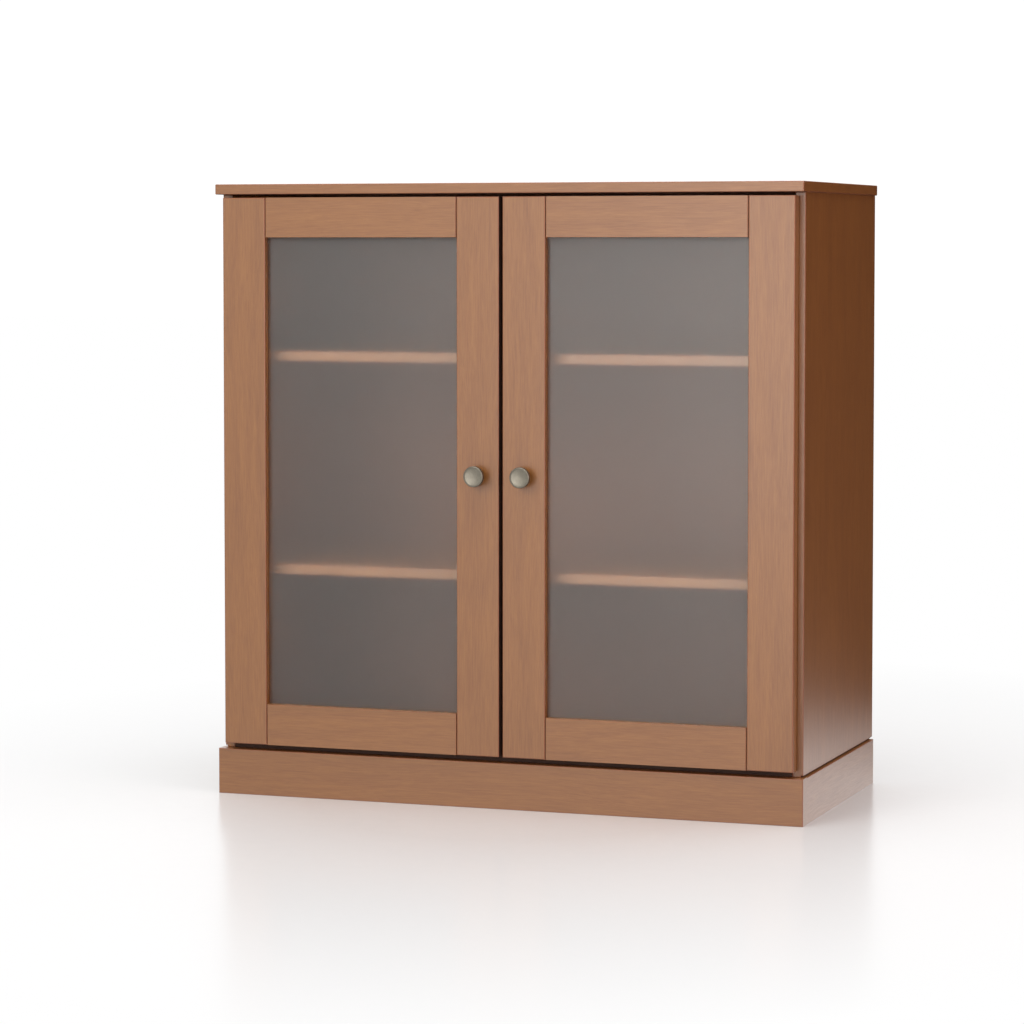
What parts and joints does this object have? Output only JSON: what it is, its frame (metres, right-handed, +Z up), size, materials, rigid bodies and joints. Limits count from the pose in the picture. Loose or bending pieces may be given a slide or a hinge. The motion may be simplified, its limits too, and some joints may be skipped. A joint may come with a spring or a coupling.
{
  "type": "two-door storage cabinet",
  "caption": "Free-standing low wooden storage cabinet with frosted glass doors in flat frames, round metal knobs, inner shelves and a box plinth.",
  "frame": {"origin": "on the floor, at the centre of the overall bounding box seen from above", "axes": "+Z up, +Y towards the back panel, +X towards the right-hand side panel seen from the front"},
  "size_m": [0.892, 0.45, 0.9],
  "materials": {
    "stained_wood": "satin reddish-brown stain",
    "back_board": "matt",
    "frosted_glass": "sandblasted, translucent",
    "satin_nickel": "satin nickel",
    "hinge_steel": "nickel-plated pressed steel",
    "zinc_steel": "zinc-plated",
    "bumper_rubber": "soft clear-white"
  },
  "bodies": {
    "carcass": {"top_panel": "stained_wood", "left_side_panel": "stained_wood", "right_side_panel": "stained_wood", "bottom_panel": "stained_wood", "back_panel": "back_board", "upper_shelf": "stained_wood", "lower_shelf": "stained_wood", "plinth_front_board": "stained_wood", "plinth_left_board": "stained_wood", "plinth_right_board": "stained_wood", "plinth_rear_board": "stained_wood", "lower_shelf_pin_left_front": "zinc_steel", "lower_shelf_pin_left_rear": "zinc_steel", "lower_shelf_pin_right_front": "zinc_steel", "lower_shelf_pin_right_rear": "zinc_steel", "upper_shelf_pin_left_front": "zinc_steel", "upper_shelf_pin_left_rear": "zinc_steel", "upper_shelf_pin_right_front": "zinc_steel", "upper_shelf_pin_right_rear": "zinc_steel", "left_lower_hinge_arm": "hinge_steel", "left_lower_hinge_plate": "hinge_steel", "left_upper_hinge_arm": "hinge_steel", "left_upper_hinge_plate": "hinge_steel", "right_lower_hinge_arm": "hinge_steel", "right_lower_hinge_plate": "hinge_steel", "right_upper_hinge_arm": "hinge_steel", "right_upper_hinge_plate": "hinge_steel"},
    "left_door": {"left_door_hinge_stile": "stained_wood", "left_door_meeting_stile": "stained_wood", "left_door_top_rail": "stained_wood", "left_door_bottom_rail": "stained_wood", "left_door_glass": "frosted_glass", "left_door_top_bead": "stained_wood", "left_door_bottom_bead": "stained_wood", "left_door_hinge_side_bead": "stained_wood", "left_door_meeting_side_bead": "stained_wood", "left_door_bumper": "bumper_rubber", "left_knob": "satin_nickel", "left_knob_screw": "zinc_steel", "left_lower_hinge_cup": "hinge_steel", "left_upper_hinge_cup": "hinge_steel"},
    "left_hinge_links": {"left_lower_hinge_link": "hinge_steel", "left_upper_hinge_link": "hinge_steel"},
    "right_door": {"right_door_hinge_stile": "stained_wood", "right_door_meeting_stile": "stained_wood", "right_door_top_rail": "stained_wood", "right_door_bottom_rail": "stained_wood", "right_door_glass": "frosted_glass", "right_door_top_bead": "stained_wood", "right_door_bottom_bead": "stained_wood", "right_door_hinge_side_bead": "stained_wood", "right_door_meeting_side_bead": "stained_wood", "right_door_bumper": "bumper_rubber", "right_knob": "satin_nickel", "right_knob_screw": "zinc_steel", "right_lower_hinge_cup": "hinge_steel", "right_upper_hinge_cup": "hinge_steel"},
    "right_hinge_links": {"right_lower_hinge_link": "hinge_steel", "right_upper_hinge_link": "hinge_steel"}
  },
  "joints": [
    {"name": "left_door_swing", "type": "hinge", "parent": "carcass", "child": "left_door", "pos_m": [-0.4271, -0.195, 0.47825], "axis": [0, 0, -1], "range_deg": [0, 95]},
    {"name": "left_hinge_link_swing", "type": "hinge", "parent": "carcass", "child": "left_hinge_links", "pos_m": [-0.40831, -0.18816, 0.47825], "axis": [0, 0, 1], "range_deg": [0, 37.6]},
    {"name": "right_door_swing", "type": "hinge", "parent": "carcass", "child": "right_door", "pos_m": [0.4271, -0.195, 0.47825], "axis": [0, 0, 1], "range_deg": [0, 95]},
    {"name": "right_hinge_link_swing", "type": "hinge", "parent": "carcass", "child": "right_hinge_links", "pos_m": [0.40831, -0.18816, 0.47825], "axis": [0, 0, -1], "range_deg": [0, 37.6]}
  ],
  "couplings": [
    {"joint": "left_hinge_link_swing", "follows": "left_door_swing", "ratio": 0.394},
    {"joint": "right_hinge_link_swing", "follows": "right_door_swing", "ratio": 0.394}
  ]
}
